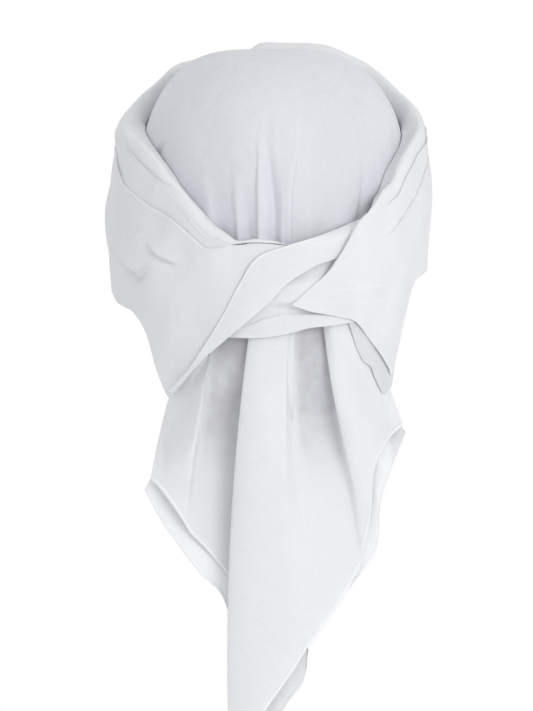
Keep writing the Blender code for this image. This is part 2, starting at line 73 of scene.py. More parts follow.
# How square the dome is, where the wraps' wall stands straight, and how the form narrows below
DOME_AT_BACK = 2.6
DOME_AT_FRONT = 5.0
WALL_TOP = 0.38
NECK_TAPER = 0.13
NECK_CURVE = 1.6
RIM_FOLLOWS_DOME_TO = 0.90
RIM_MEETS_DOME = 0.88
PUFF_LEFT = 0.0018
PUFF_RIGHT = 0.0045
PUFF_AT = 0.62
PUFF_REACH = 0.28

# Layers between the crown and each piece where all cross at the back
TAIL_BACK_LAYER = 1.0
TAIL_FRONT_LAYER = 2.2
UNDER_SASH_LAYER = 7.5
UNDER_SASH_RISE = 2.8
LEFT_WRAP_LAYER = 8.7
SASH_LAYER = 9.9
RIGHT_WRAP_LAYER = 11.6
RIM_LAYER = 0.42
TUCKED_LAYERS = 5.0
FRONT_CROSSING_LAYERS = 2.8

# How thick each cloth is: one layer of voile, a folded wrap, a rolled hem
VOILE = 0.0005
FOLDED = 0.0009
ROLLED_HEM = 0.0012

# %% [markdown]
# ## Curves
#
# A maker's pattern is a short table: at this angle the edge is that high. A smooth curve through the
# table's points gives the edge everywhere. Blender's own curves could do this too, but a function of whole
# arrays keeps the pattern in one readable place. Heights are shares: above the brow of the crown's height,
# below it of the corners' drop.

# %% Curves and shares


def ease(x):
    """0 before 0, 1 after 1, and three x squared less two x cubed between."""
    x = np.clip(x, 0.0, 1.0)
    return x * x * (3.0 - 2.0 * x)


def between(x, limits):
    """0 before the first limit, 1 past the second, and a smooth rise between."""
    start, full = limits
    return ease((x - start) / (full - start))


def bump_at(x, middle, reach):
    """1 in the middle, falling off as a bell over the reach."""
    return np.exp(-(((x - middle) / reach) ** 2))


def through(x, knots, values):
    """The cubic curve that passes each point with the slope of its neighbours, flat past the ends."""
    knots = np.asarray(knots, float)
    values = np.asarray(values, float)
    x = np.clip(x, knots[0], knots[-1])
    left = np.clip(np.searchsorted(knots, x, side="right") - 1, 0, len(knots) - 2)
    slopes = np.gradient(values, knots)
    width = knots[left + 1] - knots[left]
    t = (x - knots[left]) / width
    start = values[left] * (1 + 2 * t) * (1 - t) ** 2 + slopes[left] * width * t * (1 - t) ** 2
    end = values[left + 1] * (3 - 2 * t) * t**2 + slopes[left + 1] * width * t**2 * (t - 1)
    return start + end


def level(share):
    """The height of a share: above the brow of the crown's height, below it of the corners' drop."""
    return np.where(share > 0, share * CROWN_HEIGHT, share * CORNER_DROP)


def columns_of(table):
    """A table's columns as arrays."""
    return np.array(table, float).T


# %% [markdown]
# ## The head form
#
# A milliner works on a block. Here the block is a formula: an oval at the brow, a squarish dome above it
# and a neck that narrows below. Each cloth is placed by the angle round the head (0 is the middle of the
# back, 90 an ear), its height and how far it stands off the block, so no two layers ever share the same
# place.

# %% The block


def form_scale(angle, height):
    """The block's width at a height as a share of its width at the brow: a dome above, a taper below."""
    front = ease(-np.cos(np.radians(angle)))
    power = DOME_AT_BACK + (DOME_AT_FRONT - DOME_AT_BACK) * front
    up = np.clip(height / CROWN_HEIGHT, 0.0, 1.0)
    dome = (1.0 - up**power) ** (1.0 / power)
    down = np.clip(-height / CORNER_DROP, 0.0, None)
    return np.where(height > 0, dome, 1.0 - NECK_TAPER * down**NECK_CURVE)


def on_form(angle, height, lift, scale):
    """The oval's point at an angle, its half width and half length scaled and then widened by the lift."""
    turn = np.radians(angle)
    x = (HALF_WIDTH * scale + lift) * np.sin(turn)
    y = -(HALF_LENGTH * scale + lift) * np.cos(turn)
    return np.stack([x, y, height + 0 * x], axis=-1)


def crown_puff(angle, height):
    """How far the crown billows out at the side under the rims: a bell round two thirds of its height."""
    at_side = between(np.abs(angle), (50, 80)) * between(np.abs(angle), (150, 110))
    amount = np.where(np.asarray(angle) > 0, PUFF_RIGHT, PUFF_LEFT)
    return amount * at_side * bump_at(height / CROWN_HEIGHT, PUFF_AT, PUFF_REACH)


def wall_scale(height):
    """The block's scale, which stops narrowing above WALL_TOP, as the wraps' wall does."""
    return form_scale(height * 0, np.minimum(height, WALL_TOP * CROWN_HEIGHT))


def on_wall(angle, height, lift):
    """A point on the straight wall."""
    return on_form(angle, height, lift, wall_scale(height))


def angle_across(x, height, lift):
    """The angle at which the back of the wall has this place across the head."""
    return np.degrees(np.arcsin(np.clip(x / (HALF_WIDTH * wall_scale(height) + lift), -1.0, 1.0)))


def wall_lift(angle, padding, crossing_layer):
    """How far a wrap's wall stands off: its layers at the crossing, its padding at the sides."""
    crossing = crossing_layer * LAYER
    return crossing + (padding - crossing) * between(np.abs(angle), (18, 63))


# %% [markdown]
# ## From a surface to cloth
#
# A sheet with no thickness shows no edge, and a thick one looks like felt. Each surface is given two faces,
# half a thickness to either side along its normal, and a strip that joins them round the edge. Solidify
# could do that, but doing it here lets the thickness change: it swells to a rolled hem and thins to nothing
# sharp at a folded edge.

# %% Two faces and an edge


def normals_of(points):
    """The direction square to the steps down and across the grid, one long."""
    normal = np.cross(np.gradient(points, axis=0), np.gradient(points, axis=1))
    size = np.linalg.norm(normal, axis=-1, keepdims=True)
    return normal / np.maximum(size, 1e-12)


def grid_faces(index):
    """Four corners for each cell of a grid of point numbers."""
    corners = [index[:-1, :-1], index[1:, :-1], index[1:, 1:], index[:-1, 1:]]
    return np.stack(corners, axis=-1).reshape(-1, 4)


def border_of(index):
    """The point numbers once round a grid's edge."""
    return np.concatenate([index[0, :-1], index[:-1, -1], index[-1, :0:-1], index[:0:-1, 0]])


def unit_grid(columns, rows):
    """Shares from 0 to 1 across and down a sheet."""
    return np.meshgrid(np.linspace(0, 1, columns), np.linspace(0, 1, rows))


def make_cloth(name, points, thickness, hem=0.0, painted_shade=0.0):
    """A closed cloth round a grid of points; hem says where it is stitched or paled as painted light,
    painted_shade where its colour is greyed as painted shade.
    """
    outward = normals_of(points)
    flat = np.stack([points[..., 0], points[..., 1], 0 * points[..., 2]], axis=-1)
    rows, columns = points.shape[:2]
    thickness, hem, painted_shade = [np.broadcast_to(values, (rows, columns)) for values in (thickness, hem, painted_shade)]
    if np.sum(outward * flat) < 0:
        points, thickness, hem, painted_shade = [values[:, ::-1] for values in (points, thickness, hem, painted_shade)]
        outward = normals_of(points)
    half = thickness[..., None] / 2
    index = np.arange(rows * columns).reshape(rows, columns)
    other = index + rows * columns
    rim = border_of(index)
    rim_other = border_of(other)
    strip = np.stack([rim, rim_other, np.roll(rim_other, -1), np.roll(rim, -1)], axis=-1)
    faces = np.concatenate([grid_faces(index), grid_faces(other)[:, ::-1], strip[:, ::-1]])
    outer = points + outward * half
    inner = points - outward * half
    mesh = bpy.data.meshes.new(name)
    mesh.vertices.add(2 * rows * columns)
    mesh.vertices.foreach_set("co", np.concatenate([outer.reshape(-1, 3), inner.reshape(-1, 3)]).ravel())
    mesh.loops.add(faces.size)
    mesh.loops.foreach_set("vertex_index", faces.ravel())
    mesh.polygons.add(len(faces))
    mesh.polygons.foreach_set("loop_start", np.arange(0, faces.size, 4))
    mesh.update(calc_edges=True)
    mesh.shade_smooth()

    step_across = np.linalg.norm(np.diff(points, axis=1, prepend=points[:, :1]), axis=-1)
    step_down = np.linalg.norm(np.diff(points, axis=0, prepend=points[:1]), axis=-1)
    threads = np.stack([step_across.cumsum(axis=1), step_down.cumsum(axis=0)], axis=-1).reshape(-1, 2)
    threads = np.concatenate([threads, threads])
    uv = mesh.uv_layers.new(name="threads")
    uv.data.foreach_set("uv", threads[faces.ravel()].ravel())
    for title, values in (("hem", hem), ("painted_shade", painted_shade)):
        marks = mesh.attributes.new(title, "FLOAT", "POINT")
        marks.data.foreach_set("value", np.tile(values.ravel(), 2))
    mesh.validate()
    piece = bpy.data.objects.new(name, mesh)
    bpy.context.scene.collection.objects.link(piece)
    cells = np.linalg.norm(np.cross(np.diff(points, axis=0)[:, :-1], np.diff(points, axis=1)[:-1]), axis=-1)
    print(name, "triangles", 2 * len(faces), "area m2", round(float(cells.sum()), 4))
    return piece


# %% [markdown]
# ## The cotton
#
# Voile is a plain weave of fine twisted yarn. Two sets of fine waves across the cloth's own threads give
# the weave, a little noise makes some yarns thicker, and a slower noise leaves the soft crumple that ironed
# cotton keeps. It is matt with a faint sheen, and light that enters it spreads a little. The crown is one
# layer, so it looks cooler and greyer than the folded wraps. An image of cloth would be simpler, but it
# would stretch and repeat.

# %% The finishes
THREAD_PITCH = 0.00055
CRUMPLE_SIZE = 0.011
BLOTCH_SIZE = 0.014
WRINKLE_ROUGHNESS = 0.45
# Painted shade: the grey of one layer with shade behind it. The doubled hem's pale tone, also used as
# painted light
PAINTED_SHADE_TONE = (0.53, 0.53, 0.56)
HEM_TONE_AND_PAINTED_LIGHT = (0.96, 0.965, 0.98)
COTTON_SHADER = {
    "Roughness": 0.82,
    "Sheen Weight": 0.15,
    "Sheen Roughness": 0.5,
    "Specular IOR Level": 0.25,
    "Subsurface Weight": 0.3,
    "Subsurface Radius": (1.0, 1.0, 1.0),
    "Subsurface Scale": 0.002,
}
UNEVEN_RANGE = {"From Min": 0.3, "From Max": 0.7, "To Min": 0.55, "To Max": 1.35}


def link(tree, source, output, target, socket):
    """Joins one node's output to another's input."""
    tree.links.new(source.outputs[output], target.inputs[socket])


def set_all(node, values):
    """Sets each named input of a node."""
    for socket, value in values.items():
        node.inputs[socket].default_value = value


def add_noise(tree, place, output, scale, detail):
    """Noise over the given coordinates."""
    noise = tree.nodes.new("ShaderNodeTexNoise")
    set_all(noise, {"Scale": scale, "Detail": detail})
    link(tree, place, output, noise, "Vector")
    return noise


def add_mix(tree, blend="MIX"):
    """A mix of two colours."""
    mix = tree.nodes.new("ShaderNodeMix")
    mix.data_type = "RGBA"
    mix.blend_type = blend
    return mix


def add_product(tree, first, second, output):
    """The first node's factor times the second's output, at most 1."""
    times = tree.nodes.new("ShaderNodeMath")
    times.operation = "MULTIPLY"
    times.use_clamp = True
    link(tree, first, "Fac", times, 0)
    link(tree, second, output, times, 1)
    return times


def add_yarn(tree, threads, direction):
    """Waves a thread pitch apart, with a little unevenness."""
    yarn = tree.nodes.new("ShaderNodeTexWave")
    yarn.bands_direction = direction
    set_all(yarn, {"Scale": 2 * np.pi / (20 * THREAD_PITCH), "Distortion": 0.6, "Detail": 1.0})
    link(tree, threads, "UV", yarn, "Vector")
    return yarn


def cotton(name, light, shade, crumple, weave):
    """White cotton: two tints mixed by slow noise, with crumple and weave as heights in metres."""
    material = bpy.data.materials.new(name)
    material.use_nodes = True
    tree = material.node_tree
    shader = tree.nodes["Principled BSDF"]
    set_all(shader, COTTON_SHADER)

    place = tree.nodes.new("ShaderNodeTexCoord")
    threads = tree.nodes.new("ShaderNodeUVMap")
    threads.uv_map = "threads"
    tint = add_mix(tree)
    set_all(tint, {"A": (*shade, 1.0), "B": (*light, 1.0)})
    link(tree, add_noise(tree, place, "Object", 26.0, 3.0), "Fac", tint, "Factor")
    thread_tint = add_mix(tree, "MULTIPLY")
    thread_tint.inputs["Factor"].default_value = 0.06
    link(tree, tint, "Result", thread_tint, "A")
    link(tree, add_noise(tree, threads, "UV", 420.0, 2.0), "Fac", thread_tint, "B")

    uneven = tree.nodes.new("ShaderNodeMapRange")
    set_all(uneven, UNEVEN_RANGE)
    link(tree, add_noise(tree, place, "Object", 1 / BLOTCH_SIZE, 4.0), "Fac", uneven, "Value")
    colour = thread_tint
    # painted_shade greys the colour unevenly, as painted shade; hem pales it for doubled hems and as painted
    # light
    for title, tone, patchy in (("painted_shade", PAINTED_SHADE_TONE, True), ("hem", HEM_TONE_AND_PAINTED_LIGHT, False)):
        where = tree.nodes.new("ShaderNodeAttribute")
        where.attribute_name = title
        toned = add_mix(tree)
        toned.inputs["B"].default_value = (*tone, 1.0)
        if patchy:
            link(tree, add_product(tree, where, uneven, "Result"), "Value", toned, "Factor")
        else:
            link(tree, where, "Fac", toned, "Factor")
        link(tree, colour, "Result", toned, "A")
        colour = toned
    link(tree, colour, "Result", shader, "Base Color")

    over_and_under = add_product(tree, add_yarn(tree, threads, "X"), add_yarn(tree, threads, "Y"), "Fac")
    wrinkle = add_noise(tree, place, "Object", 1 / CRUMPLE_SIZE, 3.0)
    wrinkle.inputs["Roughness"].default_value = WRINKLE_ROUGHNESS
    heights = []
    for source, output, height in ((wrinkle, "Fac", crumple), (over_and_under, "Value", weave)):
        bump = tree.nodes.new("ShaderNodeBump")
        set_all(bump, {"Strength": 1.0, "Distance": height})
        link(tree, source, output, bump, "Height")
        heights.append(bump)
    link(tree, heights[0], "Normal", heights[1], "Normal")
    link(tree, heights[1], "Normal", shader, "Normal")
    print("finish", name, "nodes", len(tree.nodes))
    return material


WEAVE_HEIGHT = 0.00004
crown_cotton = cotton("crown_voile", (0.725, 0.74, 0.785), (0.665, 0.68, 0.73), 0.0015, WEAVE_HEIGHT)
wrap_cotton = cotton("folded_voile", (0.79, 0.80, 0.82), (0.75, 0.76, 0.78), 0.0007, WEAVE_HEIGHT)
tail_cotton = cotton("tail_voile", (0.84, 0.85, 0.87), (0.80, 0.81, 0.83), 0.0008, WEAVE_HEIGHT)


def dress(piece, node, finish):
    """Gives a piece its finish and lets it stand for its plain node in the frame."""
    piece.data.materials.append(finish)
    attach(piece, "root")
    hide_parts(node)
    return piece


# %% [markdown]
# ## Pleats and creases
#
# A pleat is a step: one layer's folded edge lies on the next, stands a little proud and settles within a
# few centimetres. A crease is a groove or ridge along a line. Both are given by a line drawn on the back of
# the head, in millimetres across and up, and the distance of every point from it. Modelling each as its own
# strip would leave seams that the one folded cloth doesn't have.

# %% Distance from a drawn line


def beside_line(x, z, line):
    """The signed distance from a line, positive to its left as it runs, and the share of its length."""
    line = np.array(line, float) / 1000
    start = line[:-1]
    run = np.diff(line, axis=0)
    length = np.hypot(run[:, 0], run[:, 1])
    dx = x[..., None] - start[:, 0]
    dz = z[..., None] - start[:, 1]
    t = np.clip((dx * run[:, 0] + dz * run[:, 1]) / length**2, 0.0, 1.0)
    away = np.hypot(dx - t * run[:, 0], dz - t * run[:, 1])
    side = np.where(run[:, 0] * dz - run[:, 1] * dx >= 0, 1.0, -1.0)
    nearest = np.argmin(away, axis=-1)[..., None]
    run_share = (np.concatenate([[0.0], np.cumsum(length)[:-1]]) + t * length) / length.sum()
    distance = np.take_along_axis(away * side, nearest, -1)[..., 0]
    return distance, np.take_along_axis(run_share, nearest, -1)[..., 0]


def fade_at_ends(share, fade):
    """0 at both ends of a line and 1 past the fade's share of it."""
    first, last = fade
    return between(share, (0.0, max(first, 1e-3))) * between(share, (1.0, 1.0 - max(last, 1e-3)))


def pleat(x, z, line, step, reach, fade=(0.2, 0.2), sharp=0.0005):
    """A folded edge: left of the line the cloth stands a step higher and settles over its reach."""
    distance, share = beside_line(x, z, line)
    above = 0.5 + 0.5 * np.tanh(distance / sharp)
    settled = np.exp(-np.maximum(distance, 0.0) / reach)
    return step * above * settled * fade_at_ends(share, fade)


def crease(x, z, line, height, left, right, fade=(0.2, 0.2)):
    """A ridge, or a groove if its height is negative, that falls away over its left and right widths."""
    distance, share = beside_line(x, z, line)
    width = np.where(distance > 0, left, right)
    return height * np.exp(-((distance / width) ** 2)) * fade_at_ends(share, fade)


def laid_pleats(x, z, pleats, groove):
    """Every pleat of a table in mm, with a groove along its edge as a share of its step."""
    relief = 0.0
    for line, step, reach, fade in pleats:
        relief = relief + pleat(x, z, line, step / 1000, reach / 1000, fade)
        relief = relief + crease(x, z, line, -groove * step / 1000, 0.0005, 0.0035, fade)
    return relief


def soft_waves(u, v, waves):
    """The sum of slow sine waves: height, waves per metre along and across, and where each starts."""
    total = 0.0
    for height, along, across, start in waves:
        total = total + height * np.sin(2 * np.pi * (along * u + across * v) + start)
    return total


# %% [markdown]
# ## The crown
#
# One layer of voile drawn smooth over the top of the head. Where the crossing grips it, the spare width is
# gathered into upright ridges that are sharp at the foot and melt away upwards. The sheet is a square bent
# onto a disc, so the top of the head has no pole where triangles would pinch. A sphere would need such a
# pole.

# %% The crown's gathers
# Angle and height of the edge
CROWN_EDGE = ((0, -0.44), (40, -0.20), (90, -0.08), (140, 0.12), (180, 0.20))
# Ridges and grooves: the line on the back in mm, height in mm, width to its left and right in mm
CROWN_GATHERS = (
    (((-7.2, -22), (-7.2, 4), (-7.6, 20), (-7.0, 48), (-5.0, 68)), 3.8, 1.1, 7.0, (0.0, 0.8)),
    (((2.0, -22), (2.0, 8), (-0.6, 28), (-2.5, 46), (-0.6, 78)), -3.2, 4.0, 3.2, (0.0, 0.6)),
    (((11.2, -22), (11.2, 14), (12.5, 26), (15.4, 42), (17, 72)), 4.0, 6.0, 1.0, (0.0, 0.7)),
    (((-19.0, -22), (-20.0, 0), (-22, 22), (-22, 44)), 2.4, 2.0, 3.0, (0.0, 0.8)),
    (((6.0, -22), (6.4, 6), (6.0, 30)), 0.9, 1.2, 1.2, (0.0, 0.8)),
    (((22, -18), (24, 4), (25, 26)), 0.9, 2.0, 4.0, (0.0, 0.8)),
    (((38, -12), (41, 8), (40, 30)), 0.8, 2.0, 5.0, (0.0, 0.8)),
    (((-36, -10), (-39, 14), (-43, 44)), 0.9, 4.0, 2.2, (0.0, 0.8)),
    (((-13.0, -22), (-13.6, 2), (-15, 26)), -2.2, 3.4, 2.6, (0.0, 0.8)),
    (((-29, -22), (-31, 4), (-35, 30)), -1.2, 5.0, 4.0, (0.0, 0.8)),
    (((-44, -10), (-48, 12), (-50, 40)), -0.9, 7.0, 7.0, (0.0, 0.8)),
    (((-72, 38), (-69, 44), (-66, 51)), -2.0, 1.4, 2.2, (0.1, 0.6)),
    (((53, -2), (56.4, 17), (56, 30), (55, 44)), -2.4, 1.3, 2.6, (0.0, 0.8)),
    (((46, -4), (49, 14), (47, 40)), 1.1, 6.0, 5.0, (0.0, 0.8)),
    (((28, -16), (31, 12), (29, 48)), -1.1, 7.0, 8.0, (0.0, 0.8)),
)
CROWN_SLACK = ((0.0004, 11, 7, 0.4), (0.0003, 18, -9, 2.1), (0.0002, 31, 5, 4.0))
CROWN_SITS_IN = 0.0001
DRAWN_TO_BACK = 28.0


def crown_surface(across, down):
    """A square bent onto a disc, the disc bent over the dome, with the gathers raised off it."""
    u = 2 * across - 1
    v = 2 * down - 1
    disc_x = u * np.sqrt(1 - v * v / 2)
    disc_y = v * np.sqrt(1 - u * u / 2)
    radius = np.hypot(disc_x, disc_y)
    angle = np.degrees(np.arctan2(disc_x, disc_y))
    angle = angle - DRAWN_TO_BACK * np.sin(np.radians(angle))
    edge = level(through(np.abs(angle), *columns_of(CROWN_EDGE)))
    power = DOME_AT_BACK + (DOME_AT_FRONT - DOME_AT_BACK) * ease(-np.cos(np.radians(angle)))
    edge_up = np.clip(edge / CROWN_HEIGHT, 0.0, 1.0)
    edge_out = (1.0 - edge_up**power) ** (1.0 / power)
    last = np.degrees(np.arctan2(edge_out, edge_up)) / 90.0 + np.clip(-edge / CORNER_DROP, 0.0, None)
    turn = radius * last
    tilt = np.radians(90.0 * np.minimum(turn, 1.0))
    size = (np.abs(np.cos(tilt)) ** power + np.abs(np.sin(tilt)) ** power) ** (1.0 / power)
    height = np.where(turn <= 1.0, CROWN_HEIGHT * np.cos(tilt) / size, -(turn - 1.0) * CORNER_DROP)
    scale = np.where(turn <= 1.0, np.sin(tilt) / size, form_scale(angle, height))
    plain = on_form(angle, height, 0.0, scale)
    at_back = between(plain[..., 1], (-0.02, -0.05))
    relief = 0.0
    for line, rise, left, right, fade in CROWN_GATHERS:
        ridge = crease(plain[..., 0], plain[..., 2], line, rise / 1000, left / 1000, right / 1000, fade)
        relief = relief + ridge * at_back
    slack = soft_waves(plain[..., 0], plain[..., 2], CROWN_SLACK) * between(radius, (0.1, 0.5))
    slack = slack * between(np.abs(angle), (80, 50))
    return on_form(angle, height, relief + slack + crown_puff(angle, height) - CROWN_SITS_IN, scale)


CROWN_POINTS = 208
CLOSER_AT_BACK = 0.55
spread = np.linspace(-1, 1, CROWN_POINTS)
spread = 0.5 + 0.5 * (CLOSER_AT_BACK * spread + (1 - CLOSER_AT_BACK) * spread**3)
across, down = np.meshgrid(spread, np.linspace(0, 1, CROWN_POINTS))
crown = make_cloth("crown_cloth", crown_surface(across, down), VOILE)
dress(crown, "crown", crown_cotton)

# %% [markdown]
# ## The band over the forehead
#
# Under the two wraps the cloth is folded into a narrow band that grips the forehead. The photo doesn't show
# it, so it is finished plainly as three soft folds, a sine wave down a band that follows the dome.

# %% The front band
# Angle, top and bottom edge
FRONT_BAND = ((118, 0.42, 0.02), (140, 0.50, -0.01), (180, 0.60, 0.0), (220, 0.50, -0.01), (242, 0.42, 0.02))
BAND_LAYER = 0.6
BAND_FOLDS = 3
BAND_FOLD_DEPTH = 0.0012


def band_surface(across, down):
    """From top to bottom edge on the dome, with three folds as a sine squared."""
    angles, tops, bottoms = columns_of(FRONT_BAND)
    angle = angles[0] + (angles[-1] - angles[0]) * across
    top = level(through(angle, angles, tops))
    bottom = level(through(angle, angles, bottoms))
    height = top + (bottom - top) * down
    lift = BAND_LAYER * LAYER + crown_puff((angle + 180) % 360 - 180, height)
    lift = lift + BAND_FOLD_DEPTH * np.sin(down * BAND_FOLDS * np.pi) ** 2
    return on_form(angle, height, lift, form_scale(angle, height))


band = make_cloth("front_band_cloth", band_surface(*unit_grid(170, 50)), VOILE)
dress(band, "front_band", wrap_cotton)

# %% [markdown]
# ## The two wraps
#
# Each side of the cloth is rolled up, which pads it, and brought round the head to cross at the back. A
# wrap starts as a rim that lies on the crown, rolls up and over to a wall, and falls in flat pleats to its
# hem, whose lowest point is the corner behind the ear. The grid has extra rows along the two main pleats.
# They run under the top layer's edge and back, so the fold has a real lip and not only a painted shadow.

# %% Rows of a wrap
# A fold's rows from above to below: how far each lies past the line, and its part of the pleat's step
PLEAT_LIP = ((0.0008, 0.0), (-0.0016, 0.04), (-0.0021, 0.32), (-0.0016, 0.58), (0.0002, 0.66),
             (0.0006, 0.84), (0.0001, 1.0))
LIP_FLAT = np.linspace(0.0009, -0.0009, len(PLEAT_LIP))
LIP_MARGIN = 0.0010
PLEAT_SETTLES = 0.026


def wrap_rows(roll_rows, upper_rows, main_rows):
    """For each row: the edge it starts from, its share of the way to the next, its place in a fold."""
    roll = [(0, 1 - np.cos(t), -1) for t in np.linspace(0, np.pi / 2, roll_rows)]
    upper_fold, main_fold = [[(edge, 0.0, k) for k in range(len(PLEAT_LIP))] for edge in (1, 2)]
    middle = [(1, t, -1) for t in np.linspace(0, 1, upper_rows)]
    lower = [(2, t, -1) for t in np.linspace(0, 1, main_rows)]
    return np.array(roll + upper_fold + middle + main_fold + lower, float)


def wrap_surface(angle, rows, table, side, shape):
    """Rim to roll to wall to hem at each angle, with lips at the upper and the main pleat.

    The roll's lift goes from the rim's to the wall's as a quarter circle. Its height swells as half a sine
    wave. Each pleat stands a step proud and settles over its reach.
    """
    angles, *edges = columns_of(table)
    rim, upper, main, hem = [level(through(angle, angles, heights)) for heights in edges]
    to_crown = np.maximum(DEEPER_INSIDE * between(angle, (176, 160)), rim - RIM_MEETS_DOME * CROWN_HEIGHT)
    deeper = to_crown * between(angle, (86, 106)) * shape["sinks"](angle)
    rim = rim - deeper
    edges = np.array([rim, upper, main, hem])
    start = rows[:, 0].astype(int)[:, None]
    share = rows[:, 1][:, None]
    fold = rows[:, 2].astype(int)[:, None]
    column = np.arange(len(angle))[None, :]
    margin = np.minimum(LIP_MARGIN, np.abs(np.diff(edges, axis=0)) / 4)
    low_margin = np.concatenate([margin[:1] * 0, margin[1:]])
    high_margin = np.concatenate([margin[1:], margin[:1] * 0])
    high = edges[start, column] - low_margin[start, column] * (start > 0)
    low = edges[start + 1, column] + high_margin[start, column] * (start < 2)
    height = high + (low - high) * share
    on_roll = np.where(start == 0, share, 1.0)

    wall = shape["wall"](angle)
    edge = shape["edge"](angle) + crown_puff(side * angle, rim)
    regained = deeper * (1.0 - 0.42 * between(angle, (150, 168)))
    rise = regained + shape["rise"](angle) * np.clip((wall - edge) / FRONT_PADDING, 0.0, 1.0)
    crest = 0.8 - 0.42 * between(angle, (80, 102))
    height = height + rise * np.sin(np.pi * on_roll**crest)
    roll = np.sqrt(np.maximum(1.0 - (1.0 - on_roll) ** 2, 0.0))
    lift = edge + (wall - edge - shape["lean"](angle, height)) * roll

    past, part = columns_of(PLEAT_LIP)
    k = np.clip(fold, 0, len(PLEAT_LIP) - 1)
    for number in (1, 2):
        line = edges[number]
        fit = np.minimum(margin[number - 1], margin[number]) / LIP_MARGIN
        here = (fold >= 0) & (start == number)
        strength, step = shape["pleats"](angle, number)
        offset = LIP_FLAT[k] * fit + (past[k] - LIP_FLAT[k]) * fit * strength
        settle = np.exp(-np.maximum(line - height, 0.0) / PLEAT_SETTLES) * (start >= number)
        lift = lift + step * strength * np.where(here, part[k], settle)
        height = np.where(here, line + offset, height)

    tucked = between(angle, (85, 115)) * ease(share) * (start == 2) * (fold < 0)
    lift = lift + (np.minimum(shape["hem"](angle), lift) - lift) * tucked
    straight = wall_scale(height)
    dome = form_scale(angle, np.minimum(rim, RIM_FOLLOWS_DOME_TO * CROWN_HEIGHT))
    scale = dome + (straight - dome) * roll
    plain = on_form(side * angle, height, lift, scale)
    relief = shape["relief"](plain[..., 0], plain[..., 2], angle + 0 * lift) * between(on_roll, (0.15, 0.5))
    return on_form(side * angle, height, lift + relief, scale)


def edge_distance(points):
    """How far each point of a grid is from the grid's last row, measured down its column."""
    step = np.linalg.norm(np.diff(points, axis=0), axis=-1)
    from_end = np.cumsum(step[::-1], axis=0)[::-1]
    return np.concatenate([from_end, np.zeros((1, points.shape[1]))])


def folded_edge(distance, thickness):
    """A thickness that rounds off to a third over the last millimetre."""
    return thickness * (0.35 + 0.65 * np.sqrt(np.clip(distance / 0.001, 0.0, 1.0)))


def make_wrap(node, points):
    """A folded cloth that stands for a wrap's node."""
    cloth = make_cloth(node + "_cloth", points, folded_edge(edge_distance(points), FOLDED))
    return dress(cloth, node, wrap_cotton)


# %% [markdown]
# ## The left wrap
#
# It goes under the crossing. One pleat runs all along its side and a short one lies near the crossing, both
# with the lower cloth on top. Three more at the side fold the other way, and the knot pulls the cloth
# narrow.

# %% The left wrap
LEFT_WRAP = (
    # angle, then the height of the rim, the upper pleat, the main pleat and the hem
    (-20, -0.145, -0.15, -0.155, -0.18),
    (-8, -0.142, -0.147, -0.152, -0.30),
    (0, -0.130, -0.135, -0.140, -0.37),
    (6, -0.126, -0.131, -0.136, -0.47),
    (13, -0.134, -0.140, -0.146, -0.58),
    (18, -0.085, -0.125, -0.155, -0.64),
    (23, -0.045, -0.105, -0.170, -0.70),
    (31, 0.055, 0.01, -0.08, -0.83),
    (38, 0.142, 0.12, 0.00, -0.93),
    (43, 0.205, 0.19, 0.04, -0.985),
    (46, 0.25, 0.235, 0.06, -1.00),
    (48.5, 0.28, 0.26, 0.08, -0.90),
    (52, 0.32, 0.295, 0.11, -0.74),
    (55, 0.345, 0.32, 0.135, -0.62),
    (60, 0.39, 0.36, 0.18, -0.53),
    (67, 0.44, 0.40, 0.25, -0.49),
    (75, 0.49, 0.44, 0.33, -0.455),
    (90, 0.55, 0.48, 0.42, -0.38),
    (110, 0.65, 0.57, 0.48, -0.18),
    (125, 0.76, 0.68, 0.55, 0.06),
    (133, 0.825, 0.74, 0.61, 0.16),
    (150, 0.895, 0.81, 0.70, 0.36),
    (180, 0.955, 0.87, 0.78, 0.62),
    (203, 0.87, 0.83, 0.79, 0.74),
    (215, 0.83, 0.81, 0.79, 0.76),
)
# Lines on the left wrap in mm: points, step, reach, fade
SHORT_LEFT_PLEATS = (
    (((-78, -13), (-73.2, -18), (-67.7, -22.7), (-56, -28)), 2.6, 7.0, (0.4, 0.3)),
    (((-99, -13), (-95.9, -18), (-88.3, -27.3), (-79, -36)), 3.6, 9.0, (0.3, 0.08)),
    (((-90.8, 68), (-89.8, 51.7), (-86.3, 43.4), (-74.1, 31.1), (-65.8, 23.7), (-52, 16)), 1.1, 7.0,
     (0.35, 0.3)),
)
CORNER_CREASE = ((-59, -50), (-58.5, -60), (-55, -74))
# Height, waves per metre along and up, start
LEFT_WAVES = ((0.0005, 9, 16, 0.0), (0.0004, 21, -11, 1.3), (0.0003, 33, 20, 2.2))
# How far the side leans in at each height, in metres
LEFT_LEAN = ((0.010, 0.0), (0.030, 0.0018), (0.046, 0.0030), (0.058, 0.0024), (0.066, 0.0032),
             (0.078, 0.0050), (0.092, 0.0100))
SPANS_GATHERS = 0.0038


def left_wall(angle):
    """The left wrap's padding, less at the crossing and the front."""
    wall = wall_lift(angle, LEFT_PADDING, LEFT_WRAP_LAYER)
    return wall + (FRONT_PADDING - wall) * between(angle, (100, 150))


def left_edge(angle):
    """The left rim lies on the crown, a little higher where it spans the gathers."""
    edge = LAYER * RIM_LAYER + SPANS_GATHERS * between(angle, (24, 14))
    return edge + (LEFT_WRAP_LAYER * LAYER - edge) * between(angle, (-2, -8))


def left_pleats(angle, number):
    """Strength and step: the upper pleat is a short one near the crossing, the main one runs all along."""
    if number == 1:
        return between(angle, (14, 20)) * between(angle, (36, 28)), 0.0012
    at_side = 0.3 + 0.7 * between(angle, (90, 70))
    return between(angle, (14, 22)) * between(angle, (150, 110)) * at_side, 0.0019


